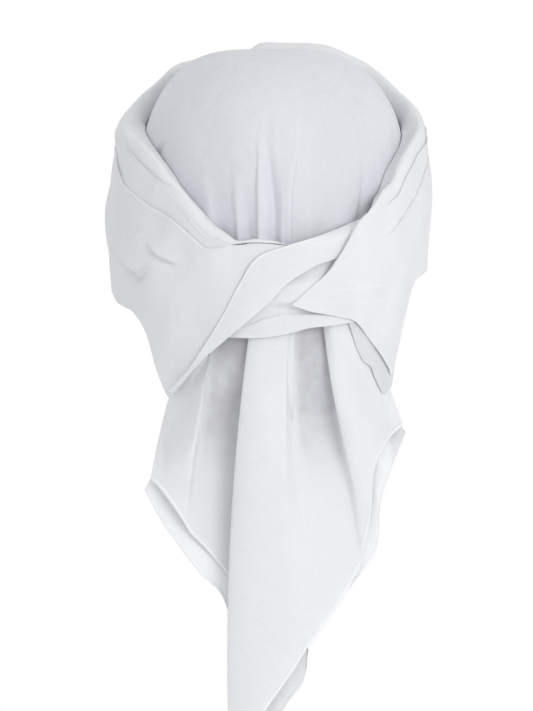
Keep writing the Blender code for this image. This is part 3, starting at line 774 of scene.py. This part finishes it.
def left_relief(x, z, angle):
    """Three short pleats at the side, a faint crease on the corner, and slow waves."""
    relief = laid_pleats(x, z, SHORT_LEFT_PLEATS, 0.7) * between(angle, (110, 90))
    relief = relief + crease(x, z, CORNER_CREASE, -0.0002, 0.002, 0.002)
    waves = soft_waves(angle / 600, z, LEFT_WAVES)
    return relief + waves * (0.35 + 0.65 * between(angle, (20, 45))) * between(angle, (165, 148))


def left_rise(angle):
    """How far the roll swells above its rim: little at the crossing and over the ear."""
    at_side = between(angle, (14, 40)) * (1 - 0.6 * bump_at(angle, 92, 22))
    under_right = 1 - 0.35 * between(angle, (165, 185))
    return ROLL_RISE * (0.3 * between(angle, (-8, 4)) + 0.7 * at_side) * under_right


LEFT_SHAPE = {
    "wall": left_wall,
    "edge": left_edge,
    "rise": left_rise,
    "sinks": lambda angle: 1.0 + 0 * angle,
    "lean": lambda angle, height: through(height, *columns_of(LEFT_LEAN)) * between(angle, (140, 120)),
    "hem": lambda angle: angle * 0 + TUCKED_LAYERS * LAYER,
    "pleats": left_pleats,
    "relief": left_relief,
}
left_angles = np.concatenate([np.linspace(-20, 104, 212), np.linspace(105.4, 215, 78)])
points = wrap_surface(left_angles, wrap_rows(24, 26, 92), LEFT_WRAP, -1.0, LEFT_SHAPE)
left_wrap = make_wrap("left_wrap", points)

# %% [markdown]
# ## The right wrap
#
# It lies over the left one at the forehead and over the crossing at the back. Its leading edge comes off
# the crown steeply and turns into the band that holds the tail, so its rim drops fast below the ear.

# %% The right wrap
RIGHT_WRAP = (
    # angle, then the height of the rim, the upper pleat, the main pleat and the hem
    (7.5, -0.478, -0.480, -0.482, -0.485),
    (10, -0.447, -0.458, -0.472, -0.498),
    (15, -0.376, -0.40, -0.45, -0.522),
    (20, -0.305, -0.34, -0.41, -0.535),
    (25, -0.20, -0.26, -0.37, -0.55),
    (33, 0.00, -0.08, -0.27, -0.58),
    (38, 0.055, 0.01, -0.19, -0.645),
    (42.5, 0.09, 0.06, -0.13, -0.708),
    (49, 0.125, 0.11, -0.05, -0.79),
    (53, 0.16, 0.15, 0.00, -0.84),
    (55.5, 0.21, 0.20, 0.03, -0.872),
    (58, 0.26, 0.25, 0.06, -0.73),
    (61, 0.30, 0.29, 0.10, -0.55),
    (64.5, 0.335, 0.325, 0.145, -0.42),
    (68, 0.37, 0.355, 0.195, -0.35),
    (74, 0.42, 0.40, 0.27, -0.31),
    (85, 0.50, 0.47, 0.37, -0.28),
    (100, 0.58, 0.54, 0.44, -0.22),
    (118, 0.69, 0.63, 0.52, -0.06),
    (132, 0.80, 0.71, 0.60, 0.11),
    (155, 0.97, 0.85, 0.73, 0.42),
    (174, 0.985, 0.90, 0.81, 0.60),
    (187, 0.985, 0.915, 0.85, 0.70),
    (194, 0.968, 0.915, 0.86, 0.78),
    (201, 0.935, 0.91, 0.885, 0.86),
)
# Lines on the right wrap in mm: points, step, reach, fade
RIGHT_PLEATS = (
    (((84, -37.5), (41, -42.5), (26, -47)), 0.7, 9.0, (0.5, 0.3)),
    (((88, -45.5), (61.5, -50.3), (18, -50.3)), 0.6, 6.0, (0.5, 0.1)),
    (((54, -18), (45.5, -23.6), (40.6, -26.4), (34, -31.5)), 1.0, 7.0, (0.5, 0.2)),
)
# Height, waves per metre along and up, start
RIGHT_WAVES = ((0.0004, 10, -14, 0.7), (0.0003, 24, 12, 2.9), (0.0003, 37, -18, 0.2))


def over_left_wrap(angle):
    """How much further out the right wrap lies where it passes over the left one at the front."""
    return FRONT_CROSSING_LAYERS * LAYER * between(angle, (115, 143))


def right_wall(angle):
    """The right wrap's padding, less at the crossing and the front."""
    wall = wall_lift(angle, RIGHT_PADDING, RIGHT_WRAP_LAYER)
    wall = wall + (FRONT_PADDING + PLEAT_STEP + over_left_wrap(angle) - wall) * between(angle, (100, 140))
    return wall + (FRONT_PADDING + LAYER - wall) * between(angle, (178, 200))


def right_edge(angle):
    """The right rim lies over the sash, then on the crown at the side and on the left wrap in front."""
    layers = RIM_LAYER + (RIGHT_WRAP_LAYER - RIM_LAYER) * between(angle, (52, 34))
    edge = LAYER * layers + over_left_wrap(angle)
    return edge + (right_wall(angle) - edge) * between(angle, (184, 199))


def right_hem(angle):
    """How far out the tucked hem lies at the front."""
    over = over_left_wrap(angle) + PLEAT_STEP * between(angle, (115, 143))
    return TUCKED_LAYERS * LAYER + over + FRONT_PADDING * between(angle, (165, 180))


def right_pleats(angle, number):
    """Strength and step: the upper pleat is clear at the side, the main one is soft."""
    if number == 1:
        return between(angle, (44, 52)) * between(angle, (150, 110)), 0.0015
    return between(angle, (40, 56)) * between(angle, (150, 110)) * 0.5, 0.0012


def right_relief(x, z, angle):
    """Soft level pleats by the crossing and slow waves along the wrap."""
    relief = laid_pleats(x, z, RIGHT_PLEATS, 0.0) * between(angle, (90, 70))
    waves = soft_waves(angle / 600, z, RIGHT_WAVES)
    return relief + waves * (0.3 + 0.7 * between(angle, (25, 45))) * between(angle, (190, 174))


RIGHT_SHAPE = {
    "wall": right_wall,
    "edge": right_edge,
    "rise": lambda angle: ROLL_RISE * between(angle, (198, 182)),
    "sinks": lambda angle: between(angle, (152, 138)),
    "lean": lambda angle, height: 0 * height,
    "hem": right_hem,
    "pleats": right_pleats,
    "relief": right_relief,
}
right_angles = np.concatenate([np.linspace(7.5, 104, 182), np.linspace(105.4, 201, 72)])
points = wrap_surface(right_angles, wrap_rows(24, 26, 100), RIGHT_WRAP, 1.0, RIGHT_SHAPE)
right_wrap = make_wrap("right_wrap", points)

# %% [markdown]
# ## The right corner's inner layer
#
# The hanging corner is folded double, and its inner layer shows in the shade below the outer one; that shade
# is also painted into its colour as grey.

# %% The inner corner
RIGHT_CORNER = (
    # angle, top, bottom
    (31, -0.55, -0.59),
    (32.5, -0.55, -0.64),
    (35, -0.55, -0.725),
    (38.5, -0.58, -0.80),
    (43.5, -0.62, -0.835),
    (45.5, -0.64, -0.885),
    (49, -0.68, -0.94),
    (52, -0.71, -0.98),
    (54.5, -0.72, -0.985),
    (58.5, -0.70, -0.945),
)
INNER_LAYERS = 2.4
# How strongly the corner's inner layer is greyed with painted shade
CORNER_PAINTED_SHADE = 0.30


def corner_surface(across, down):
    """Top to bottom edge on the wall, two layers inside the right wrap."""
    angles, tops, bottoms = columns_of(RIGHT_CORNER)
    angle = np.interp(across * (len(angles) - 1), np.arange(len(angles)), angles)
    top = level(np.interp(angle, angles, tops))
    bottom = level(np.interp(angle, angles, bottoms))
    height = top + (bottom - top) * down
    lift = wall_lift(angle, RIGHT_PADDING, RIGHT_WRAP_LAYER) + PLEAT_STEP * between(angle, (20, 40))
    return on_wall(angle, height, lift - INNER_LAYERS * LAYER)


points = corner_surface(*unit_grid(90, 70))
corner = make_cloth("right_corner_cloth", points, folded_edge(edge_distance(points), VOILE), 0.0, CORNER_PAINTED_SHADE)
dress(corner, "right_corner", wrap_cotton)

# %% [markdown]
# ## The sash that crosses over
#
# From under the right wrap a flat sash crosses the gathers and ends in the left corner. It leans on the
# crown at first, then lies over the left wrap. Its upper edge is the cloth's own hem, so it shows a narrow
# raised line.

# %% The cross sash
CROSS_SASH = (
    # upper edge across and up, lower edge across and up
    (0.712, 0.026, 0.607, -0.167),
    (0.638, -0.002, 0.517, -0.213),
    (0.367, -0.088, 0.427, -0.236),
    (0.128, -0.144, 0.315, -0.269),
    (-0.105, -0.213, 0.134, -0.356),
    (-0.232, -0.356, -0.007, -0.463),
    (-0.354, -0.531, -0.159, -0.565),
    (-0.495, -0.708, -0.338, -0.680),
    (-0.622, -0.852, -0.517, -0.799),
    (-0.772, -0.976, -0.744, -0.987),
)
SASH_CREASE = ((36, -15), (31, -27), (24, -40))
SASH_HEM_STANDS = 0.0003


def sash_surface(across, down):
    """A strip from edge to edge of the table, laid on the wall one layer above the left wrap."""
    upper_x, upper_z, lower_x, lower_z = columns_of(CROSS_SASH)
    station = across * (len(upper_x) - 1)
    at = np.arange(len(upper_x))
    x = (through(station, at, upper_x) * (1 - down) + through(station, at, lower_x) * down) * HALF_WIDTH
    height = level(through(station, at, upper_z) * (1 - down) + through(station, at, lower_z) * down)
    left_of_middle = -angle_across(x, height, LEFT_PADDING)
    lift = wall_lift(np.maximum(left_of_middle, 0.0), LEFT_PADDING, LEFT_WRAP_LAYER)
    lift = lift + (SASH_LAYER - LEFT_WRAP_LAYER) * LAYER + PLEAT_STEP * between(left_of_middle, (15, 35))
    on_crown = between(station, (2.6, 1.0))
    roll = np.sqrt(1.0 - (1.0 - np.clip(down / 0.45, 0.0, 1.0)) ** 2)
    lift = lift - on_crown * (lift - 1.2 * LAYER) * (1.0 - roll)
    lift = lift + crease(x, height, SASH_CREASE, -0.0005, 0.002, 0.004)
    return on_wall(angle_across(x, height, lift), height, lift)


across, down = unit_grid(330, 70)
points = sash_surface(across, down)
sash_hem = between(down, (0.07, 0.05)) * between(across, (0.2, 0.3))
thickness = folded_edge(np.minimum(down, 1 - down) * 0.03, FOLDED) + SASH_HEM_STANDS * sash_hem
sash = make_cloth("cross_sash_cloth", points, thickness, 0.2 * sash_hem)
dress(sash, "cross_sash", wrap_cotton)

# %% [markdown]
# ## The sash that crosses under
#
# Below the crossing the left end of the cloth comes out and goes to the right, twisted once, and holds the
# tail up against the head. It is a plain band on the wall that rises where it passes under the right wrap.

# %% The under sash
UNDER_SASH = (
    # across, top, bottom
    (-0.36, -0.56, -0.665),
    (-0.105, -0.49, -0.67),
    (0.11, -0.36, -0.65),
    (0.28, -0.22, -0.615),
    (0.46, -0.17, -0.60),
    (0.62, -0.40, -0.58),
)
LEADING_EDGE = ((38, -29), (12.3, -51.9))
UNDER_SASH_FOLD = ((55, -58.5), (25.8, -57.6), (5.5, -58.3), (-4.9, -61.1), (-18, -66.5))
FOLD_STANDS = 0.0019
FOLD_REACH = 0.008


def under_sash_surface(across, down):
    """A band that swells up to the right wrap's leading edge, with a fold along its lower half."""
    places, tops, bottoms = columns_of(UNDER_SASH)
    station = across * (len(places) - 1)
    at = np.arange(len(places))
    x = through(station, at, places) * HALF_WIDTH
    height = level(through(station, at, tops) * (1 - down) + through(station, at, bottoms) * down)
    rise = between(x / HALF_WIDTH, (0.2, 0.5)) * between(height / CORNER_DROP, (-0.38, -0.52))
    to_edge, _ = beside_line(x, height, LEADING_EDGE)
    above_fold = between(height / CORNER_DROP, (-0.505, -0.46))
    below_sash = between(height / CORNER_DROP, (-0.26, -0.34))
    under_left = between(height / CORNER_DROP, (-0.31, -0.38))
    swell = 0.1 + 1.3 * under_left + 1.8 * between(to_edge, (-0.012, -0.001)) * below_sash
    lift = (UNDER_SASH_LAYER + UNDER_SASH_RISE * rise * (1 - above_fold) + swell * above_fold) * LAYER
    lift = lift + pleat(x, height, UNDER_SASH_FOLD, FOLD_STANDS, FOLD_REACH, (0.42, 0.2))
    return on_wall(angle_across(x, height, lift), height, lift)


across, down = unit_grid(220, 110)
points = under_sash_surface(across, down)
thickness = folded_edge(np.minimum(down, 1 - down) * 0.02, FOLDED)
under_sash = make_cloth("under_sash_cloth", points, thickness)
dress(under_sash, "under_sash", wrap_cotton)

# %% [markdown]
# ## The tail
#
# The square's last corner hangs down the back, doubled, in a few deep folds that open towards the hem. Each
# line of cloth runs from under the crossing to the hem, so a table of such lines, left to right along the
# cloth, holds the whole drape: where each is at the top, halfway and at the hem, and how far it stands out.
# Where the places run backwards from one line to the next, the cloth doubles back and makes a sharp fold.

# %% The tail's front layer
TAIL_FRONT = (
    # top, half, hem, drop, layers out at top, out halfway, out at hem
    (-0.55, -0.76, -0.90, 0.485, 0.0, 0.50, 0.30),
    (-0.51, -0.70, -0.85, 0.495, 0.0, 0.62, 0.38),
    (-0.47, -0.635, -0.77, 0.520, 0.0, 0.70, 0.44),
    (-0.43, -0.57, -0.68, 0.552, 0.0, 0.73, 0.42),
    (-0.405, -0.535, -0.645, 0.566, 0.0, 0.62, 0.34),
    (-0.41, -0.54, -0.62, 0.576, 0.0, 0.25, 0.24),
    (-0.385, -0.50, -0.59, 0.587, 0.0, -0.04, 0.14),
    (-0.28, -0.36, -0.46, 0.620, 0.0, -0.36, 0.00),
    (-0.09, -0.12, -0.22, 0.690, 0.0, -0.34, 0.00),
    (0.08, 0.09, 0.03, 0.755, 0.0, -0.22, 0.06),
    (0.17, 0.15, 0.09, 0.790, 1.0, 0.10, 0.26),
    (0.10, 0.04, -0.03, 0.860, 1.9, 0.46, 0.42),
    (-0.07, -0.18, -0.22, 0.970, 1.9, 0.54, 0.48),
    (-0.14, -0.30, -0.31, 1.000, 2.9, 0.80, 0.64),
    (-0.07, -0.22, -0.21, 0.970, 3.9, 1.06, 0.80),
    (0.02, -0.07, -0.02, 0.905, 3.9, 1.16, 0.88),
    (0.10, 0.085, 0.17, 0.838, 3.7, 1.06, 0.86),
    (0.135, 0.125, 0.25, 0.805, 3.1, 0.90, 0.80),
    (0.13, 0.145, 0.31, 0.785, 2.0, 0.62, 0.73),
    (0.13, 0.170, 0.37, 0.765, 1.0, 0.30, 0.66),
    (0.175, 0.22, 0.44, 0.742, 0.3, 0.02, 0.56),
    (0.26, 0.29, 0.52, 0.712, 0.0, -0.22, 0.46),
    (0.32, 0.41, 0.60, 0.677, 0.0, -0.26, 0.36),
    (0.39, 0.51, 0.67, 0.640, 0.0, -0.12, 0.32),
    (0.43, 0.535, 0.69, 0.610, 1.0, 0.34, 0.44),
    (0.385, 0.505, 0.73, 0.570, 2.1, 0.70, 0.58),
    (0.43, 0.56, 0.75, 0.530, 3.1, 0.92, 0.66),
    (0.49, 0.66, 0.775, 0.460, 2.0, 0.88, 0.60),
    (0.54, 0.76, 0.87, 0.412, 1.2, 0.70, 0.46),
    (0.58, 0.82, 0.985, 0.382, 0.8, 0.40, 0.28),
)
TAIL_TOP = -0.52
TAIL_FREE_BELOW = (
    # across, the height of the edge that the tail comes out of
    (-0.80, -1.06),
    (-0.62, -0.95),
    (-0.45, -0.76),
    (-0.30, -0.70),
    (0.10, -0.70),
    (0.40, -0.66),
    (0.58, -0.76),
    (0.70, -0.90),
    (0.90, -1.06),
)
TAIL_RELEASE = 0.045
TAIL_STANDS_AT = 0.985
TAIL_CURVE = 0.17


def hanging_lines(across, table):
    """Every column of a tail table, read smoothly at a place along the cloth."""
    station = across * (len(table) - 1)
    return [through(station, np.arange(len(table)), column) for column in columns_of(table)]


def halfway_curve(down, top, half, hem):
    """The parabola through a value at the top, halfway and at the hem."""
    return top * (1 - down) * (1 - 2 * down) + half * 4 * down * (1 - down) + hem * down * (2 * down - 1)


def tail_point(x, height, out, layers, sweep):
    """Wound on the block under the crossing, and hanging by itself below the edge that it comes out of."""
    free_edge = level(through(x / HALF_WIDTH, *columns_of(TAIL_FREE_BELOW)))
    free = ease((free_edge - height) / TAIL_RELEASE)
    share = np.minimum(0.45 + 0.1 * layers, 1.0)
    outward = share * between(np.abs(x) / HALF_WIDTH, (0.3, 0.65))
    lift = layers * LAYER + (RIGHT_PADDING - 3.0 * LAYER) * outward
    scale = form_scale(x * 0, np.maximum(height, free_edge))
    bend = np.sqrt(1.0 - np.clip(x / (HALF_WIDTH * scale + lift), -sweep, sweep) ** 2)
    wound = -(HALF_LENGTH * scale + lift) * bend
    flat = -(HALF_LENGTH * TAIL_STANDS_AT) * (1 - TAIL_CURVE * (x / TAIL_HALF_WIDTH) ** 2)
    hanging = flat - out * FOLD_DEPTH
    return np.stack([x, wound + (hanging - wound) * free, height], axis=-1)


def tail_front_surface(across, down):
    """Each hanging line from under the crossing to its hem, folded as the table says."""
    top, half, hem, drop, layers, half_out, hem_out = hanging_lines(across, TAIL_FRONT)
    x = halfway_curve(down, top, half, hem) * TAIL_HALF_WIDTH
    height = level(TAIL_TOP) * (1 - down) - drop * TAIL_DROP * down
    out = half_out + (hem_out - half_out) * between(down, (0.38, 1.0))
    return tail_point(x, height, out, TAIL_FRONT_LAYER + layers, 0.87)


def hem_bead(distance):
    """A thickness that swells to a rolled hem within two millimetres of the edge, as half a sine wave."""
    return VOILE + (ROLLED_HEM - VOILE) * np.sin(np.pi * np.clip(1.15 - distance / 0.0024, 0.0, 1.0))


tail_rows = np.concatenate([np.linspace(0, 0.955, 130), np.linspace(0.96, 1, 28)])
across, down = np.meshgrid(np.linspace(0, 1, 300), tail_rows)
points = tail_front_surface(across, down)
distance = edge_distance(points)
depth = hanging_lines(across, TAIL_FRONT)[5]
# Painted shade: the tail's deepest valleys above a set height are greyed, as if shade showed through one
# layer
painted_valley_shade = 0.80 * between(depth, (0.10, -0.20)) * between(points[..., 2], (-0.160, -0.110))
stitched = 0.3 * between(distance, (0.0030, 0.0024))
tail_front = make_cloth("tail_front_cloth", points, hem_bead(distance), stitched, painted_valley_shade)
dress(tail_front, "tail_front", tail_cotton)

# %% [markdown]
# ## The tail's back layer
#
# The second layer of the doubled corner is a little longer, so its hem shows beside and below the first. It
# hangs plainer, with one depth for the whole of each line.

# %% The tail's back layer
TAIL_BACK = (
    # top, half, hem, drop, out, out at hem
    (-0.38, -0.63, -0.945, 0.487, -0.50, 0.05),
    (-0.32, -0.54, -0.80, 0.550, -0.50, 0.02),
    (-0.22, -0.40, -0.55, 0.632, -0.60, -0.12),
    (-0.10, -0.25, -0.34, 0.692, -0.64, -0.16),
    (0.03, -0.08, -0.23, 0.845, -0.64, -0.14),
    (0.16, 0.06, -0.14, 1.000, -0.62, -0.05),
    (0.25, 0.20, 0.09, 0.885, -0.60, 0.02),
    (0.31, 0.30, 0.245, 0.830, -0.58, 0.10),
    (0.37, 0.40, 0.285, 0.765, -0.56, 0.12),
    (0.42, 0.48, 0.42, 0.712, -0.56, 0.12),
    (0.47, 0.57, 0.62, 0.655, -0.52, 0.12),
    (0.51, 0.64, 0.79, 0.592, -0.40, 0.18),
    (0.55, 0.70, 0.83, 0.500, -0.26, 0.18),
    (0.59, 0.76, 1.01, 0.385, -0.24, 0.02),
)


def tail_back_surface(across, down):
    """Each line of the back layer, some way behind the front one and nearer to it at the hem."""
    top, half, hem, drop, half_out, hem_out = hanging_lines(across, TAIL_BACK)
    x = halfway_curve(down, top, half, hem) * TAIL_HALF_WIDTH
    height = level(TAIL_TOP) * (1 - down) - drop * (TAIL_DROP + BACK_LAYER_EXTRA) * down
    out = half_out + (hem_out - half_out) * between(down, (0.38, 1.0))
    return tail_point(x, height, out, TAIL_BACK_LAYER + across * 0, 0.92)


across, down = np.meshgrid(np.linspace(0, 1, 170), tail_rows)
points = tail_back_surface(across, down)
distance = edge_distance(points)
# Painted light: a wide strip by the back layer's edge is paled with the hem's tone, against the front
# layer's shade
back_painted_light = 0.4 * between(distance, (0.030, 0.016))
tail_back = make_cloth("tail_back_cloth", points, hem_bead(distance), back_painted_light)
dress(tail_back, "tail_back", tail_cotton)

# %% [markdown]
# ## Studio
#
# White cloth on white needs soft light from everywhere, so that the folds and the contact between
# layers make grey, beside the shade painted into the tail's valleys and the corner's inner layer. The sky
# is an even white, one large panel adds direction from the right, and the floor is pale.

# %% Floor, light and camera
FLOOR = -0.345
bpy.ops.mesh.primitive_circle_add(vertices=96, radius=0.8, fill_type="NGON", location=(0, 0, FLOOR))
floor = bpy.context.object
floor.name = "floor"
paper = bpy.data.materials.new("pale_floor")
paper.use_nodes = True
paper.node_tree.nodes["Principled BSDF"].inputs["Base Color"].default_value = (0.86, 0.86, 0.87, 1.0)
paper.node_tree.nodes["Principled BSDF"].inputs["Roughness"].default_value = 0.9
floor.data.materials.append(paper)

SKY_LIGHT = 0.84
world = bpy.data.worlds.new("studio")
world.use_nodes = True
sky = world.node_tree
sky.nodes["Background"].inputs["Color"].default_value = (1.0, 1.0, 1.0, 1.0)
rays = sky.nodes.new("ShaderNodeLightPath")
strength = sky.nodes.new("ShaderNodeMapRange")
strength.inputs["To Min"].default_value = SKY_LIGHT
strength.inputs["To Max"].default_value = 1.0
link(sky, rays, "Is Camera Ray", strength, "Value")
link(sky, strength, "Result", sky.nodes["Background"], "Strength")
bpy.context.scene.world = world
bpy.context.scene.view_settings.view_transform = "Standard"


def soft_panel(name, place, turn, size, power):
    """A square lamp turned by Euler angles in degrees."""
    lamp = bpy.data.lights.new(name, "AREA")
    lamp.size = size
    lamp.energy = power
    holder = bpy.data.objects.new(name, lamp)
    holder.location = place
    holder.rotation_euler = np.radians(turn)
    bpy.context.scene.collection.objects.link(holder)


soft_panel("right_panel", (0.9, -1.75, 0.25), (81, 0, 27), 0.8, 12.5)

CAMERA_DISTANCE = 14.0
PIXEL = 0.000615
FRAME_PIXELS = 711
VIEW_CENTRE = (-0.00277, -0.05, -0.083)
SENSOR = 36.0
lens = bpy.data.cameras.new("camera")
lens.sensor_width = SENSOR
lens.lens = SENSOR * CAMERA_DISTANCE / (FRAME_PIXELS * PIXEL)
camera = bpy.data.objects.new("camera", lens)
camera.location = (VIEW_CENTRE[0], VIEW_CENTRE[1] - CAMERA_DISTANCE, VIEW_CENTRE[2])
camera.rotation_euler = (np.pi / 2, 0, 0)
bpy.context.scene.collection.objects.link(camera)
bpy.context.scene.camera = camera
